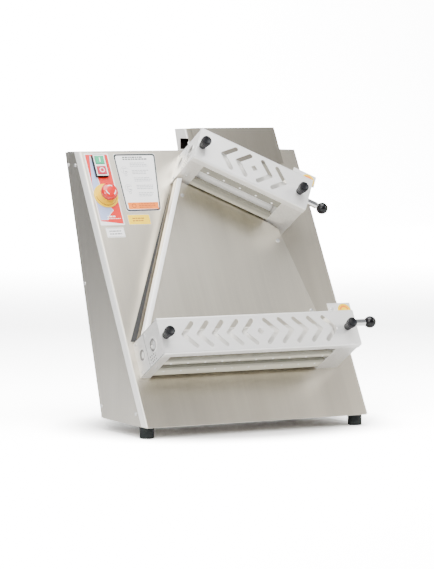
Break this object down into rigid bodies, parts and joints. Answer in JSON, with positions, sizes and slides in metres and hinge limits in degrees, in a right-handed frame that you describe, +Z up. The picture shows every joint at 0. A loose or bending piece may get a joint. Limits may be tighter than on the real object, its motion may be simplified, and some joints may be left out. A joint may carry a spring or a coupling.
{
  "type": "dough sheeter",
  "caption": "Bench dough sheeter: leaning steel casing with a tilted upper and a level lower roller head, chute, thickness levers and push-button controls.",
  "frame": {"origin": "on the floor, under the middle of the overall box", "axes": "+Z up, +X to the operator's right, +Y to the back"},
  "size_m": [0.5788, 0.4876, 0.6697],
  "materials": {
    "brushed_stainless": "brushed, satin",
    "satin_steel": "fine satin",
    "cast_aluminium": "machined and blasted",
    "roller_plastic": "smooth food-grade plastic",
    "ivory_plastic": "food-grade plastic",
    "chromed_steel": "polished",
    "zinc_steel": "plated",
    "bronze": "sintered bronze",
    "black_plastic": "moulded",
    "black_gloss": "polished phenolic",
    "black_rubber": "moulded",
    "belt_rubber": "ribbed",
    "motor_paint": "powder coat",
    "label_red": "printed film",
    "label_white": "printed film",
    "yellow_plastic": "moulded",
    "green_plastic": "moulded",
    "red_plastic": "moulded"
  },
  "bodies": {
    "casing": {"front_panel": "brushed_stainless", "left_side_cover": "brushed_stainless", "right_side_cover": "brushed_stainless", "back_cover": "brushed_stainless", "base_plate": "brushed_stainless", "feet": "black_rubber", "foot_bolts": "zinc_steel", "hood": "brushed_stainless", "casing_screws": "zinc_steel", "chute_plate": "brushed_stainless", "chute_spacers": "zinc_steel", "bushes": "bronze", "motor_mounts": "zinc_steel", "control_label": "label_red", "panel_labels": "label_white", "switch_body": "black_plastic", "estop_collar": "yellow_plastic", "cable_gland": "black_plastic", "upper_left_bracket": "cast_aluminium", "upper_right_bracket": "cast_aluminium", "upper_bracket_cap": "cast_aluminium", "upper_scale_plate": "satin_steel", "upper_scrapers": "ivory_plastic", "upper_gearmotor": "motor_paint", "upper_drive_belt": "belt_rubber", "lower_left_bracket": "cast_aluminium", "lower_right_bracket": "cast_aluminium", "lower_bracket_cap": "cast_aluminium", "lower_scale_plate": "satin_steel", "lower_scrapers": "ivory_plastic", "lower_gearmotor": "motor_paint", "lower_drive_belt": "belt_rubber"},
    "upper_rear_roller": {"upper_rear_roller": "roller_plastic", "upper_rear_gear": "zinc_steel"},
    "upper_motor_pulley": {"upper_motor_pulley": "zinc_steel"},
    "upper_thickness_lever": {"upper_front_shaft": "chromed_steel", "upper_lever_arm": "chromed_steel"},
    "upper_front_roller": {"upper_front_roller": "roller_plastic", "upper_front_gear": "zinc_steel"},
    "upper_index_knob": {"upper_index_pin": "chromed_steel", "upper_lever_ball": "black_gloss"},
    "upper_cover": {"upper_cover": "satin_steel"},
    "upper_left_knob": {"upper_left_knob": "black_plastic"},
    "upper_right_knob": {"upper_right_knob": "black_plastic"},
    "lower_rear_roller": {"lower_rear_roller": "roller_plastic", "lower_rear_gear": "zinc_steel"},
    "lower_motor_pulley": {"lower_motor_pulley": "zinc_steel"},
    "lower_thickness_lever": {"lower_front_shaft": "chromed_steel", "lower_lever_arm": "chromed_steel"},
    "lower_front_roller": {"lower_front_roller": "roller_plastic", "lower_front_gear": "zinc_steel"},
    "lower_index_knob": {"lower_index_pin": "chromed_steel", "lower_lever_ball": "black_gloss"},
    "lower_cover": {"lower_cover": "satin_steel"},
    "lower_left_knob": {"lower_left_knob": "black_plastic"},
    "lower_right_knob": {"lower_right_knob": "black_plastic"},
    "start_button": {"start_button": "green_plastic"},
    "stop_button": {"stop_button": "red_plastic"},
    "estop_stem": {"estop_stem": "zinc_steel"},
    "estop_cap": {"estop_cap": "red_plastic"}
  },
  "joints": [
    {"name": "upper_rear_roller_spin", "type": "hinge", "parent": "casing", "child": "upper_rear_roller", "pos_m": [0.06855, 0.07106, 0.52923], "axis": [0.8746, -0.2395, -0.4215], "continuous": true},
    {"name": "upper_motor_spin", "type": "hinge", "parent": "casing", "child": "upper_motor_pulley", "pos_m": [0.04916, 0.13116, 0.45485], "axis": [0.8746, -0.2395, -0.4215], "continuous": true},
    {"name": "upper_thickness_turn", "type": "hinge", "parent": "casing", "child": "upper_thickness_lever", "pos_m": [0.06752, 0.02047, 0.55583], "axis": [0.8746, -0.2395, -0.4215], "range_deg": [0, 90]},
    {"name": "upper_front_roller_spin", "type": "hinge", "parent": "upper_thickness_lever", "child": "upper_front_roller", "pos_m": [0.06855, 0.02323, 0.5564], "axis": [0.8746, -0.2395, -0.4215], "continuous": true},
    {"name": "upper_index_pull", "type": "slide", "parent": "upper_thickness_lever", "child": "upper_index_knob", "axis": [0.8746, -0.2395, -0.4215], "range_m": [0, 0.008], "stiffness_N_per_m": 400, "springref_m": -0.002},
    {"name": "upper_cover_lift", "type": "slide", "parent": "casing", "child": "upper_cover", "axis": [0, -0.8695, 0.4939], "range_m": [0, 0.04]},
    {"name": "upper_left_knob_turn", "type": "hinge", "parent": "upper_cover", "child": "upper_left_knob", "pos_m": [-0.04893, 0.01376, 0.62879], "axis": [0, -0.8695, 0.4939], "continuous": true},
    {"name": "upper_right_knob_turn", "type": "hinge", "parent": "upper_cover", "child": "upper_right_knob", "pos_m": [0.16797, -0.04563, 0.52425], "axis": [0, -0.8695, 0.4939], "continuous": true},
    {"name": "lower_rear_roller_spin", "type": "hinge", "parent": "casing", "child": "lower_rear_roller", "pos_m": [-0.02505, -0.12751, 0.17969], "axis": [1, 0, 0], "continuous": true},
    {"name": "lower_motor_spin", "type": "hinge", "parent": "casing", "child": "lower_motor_pulley", "pos_m": [-0.02505, -0.06988, 0.10095], "axis": [1, 0, 0], "continuous": true},
    {"name": "lower_thickness_turn", "type": "hinge", "parent": "casing", "child": "lower_thickness_lever", "pos_m": [-0.02505, -0.17822, 0.20606], "axis": [1, 0, 0], "range_deg": [-60, 30]},
    {"name": "lower_front_roller_spin", "type": "hinge", "parent": "lower_thickness_lever", "child": "lower_front_roller", "pos_m": [-0.02505, -0.17747, 0.20897], "axis": [1, 0, 0], "continuous": true},
    {"name": "lower_index_pull", "type": "slide", "parent": "lower_thickness_lever", "child": "lower_index_knob", "axis": [1, 0, 0], "range_m": [0, 0.008], "stiffness_N_per_m": 400, "springref_m": -0.002},
    {"name": "lower_cover_lift", "type": "slide", "parent": "casing", "child": "lower_cover", "axis": [0, -0.8695, 0.4939], "range_m": [0, 0.04]},
    {"name": "lower_left_knob_turn", "type": "hinge", "parent": "lower_cover", "child": "lower_left_knob", "pos_m": [-0.25905, -0.21359, 0.22859], "axis": [0, -0.8695, 0.4939], "continuous": true},
    {"name": "lower_right_knob_turn", "type": "hinge", "parent": "lower_cover", "child": "lower_right_knob", "pos_m": [0.19495, -0.21359, 0.22859], "axis": [0, -0.8695, 0.4939], "continuous": true},
    {"name": "start_button_press", "type": "slide", "parent": "casing", "child": "start_button", "axis": [0, 0.8695, -0.4939], "range_m": [0, 0.0025], "stiffness_N_per_m": 600, "springref_m": -0.002},
    {"name": "stop_button_press", "type": "slide", "parent": "casing", "child": "stop_button", "axis": [0, 0.8695, -0.4939], "range_m": [0, 0.0025], "stiffness_N_per_m": 600, "springref_m": -0.002},
    {"name": "estop_press", "type": "slide", "parent": "casing", "child": "estop_stem", "axis": [0, 0.8695, -0.4939], "range_m": [0, 0.005]},
    {"name": "estop_twist", "type": "hinge", "parent": "estop_stem", "child": "estop_cap", "pos_m": [-0.24745, 0.09999, 0.5174], "axis": [0, -0.8695, 0.4939], "range_deg": [-45, 0], "stiffness_Nm_per_rad": 0.05}
  ],
  "couplings": [
    {"joint": "upper_front_roller_spin", "follows": "upper_rear_roller_spin", "ratio": -1},
    {"joint": "upper_motor_spin", "follows": "upper_rear_roller_spin", "ratio": 1.2857},
    {"joint": "lower_front_roller_spin", "follows": "lower_rear_roller_spin", "ratio": -1},
    {"joint": "lower_motor_spin", "follows": "lower_rear_roller_spin", "ratio": 1.2857}
  ]
}
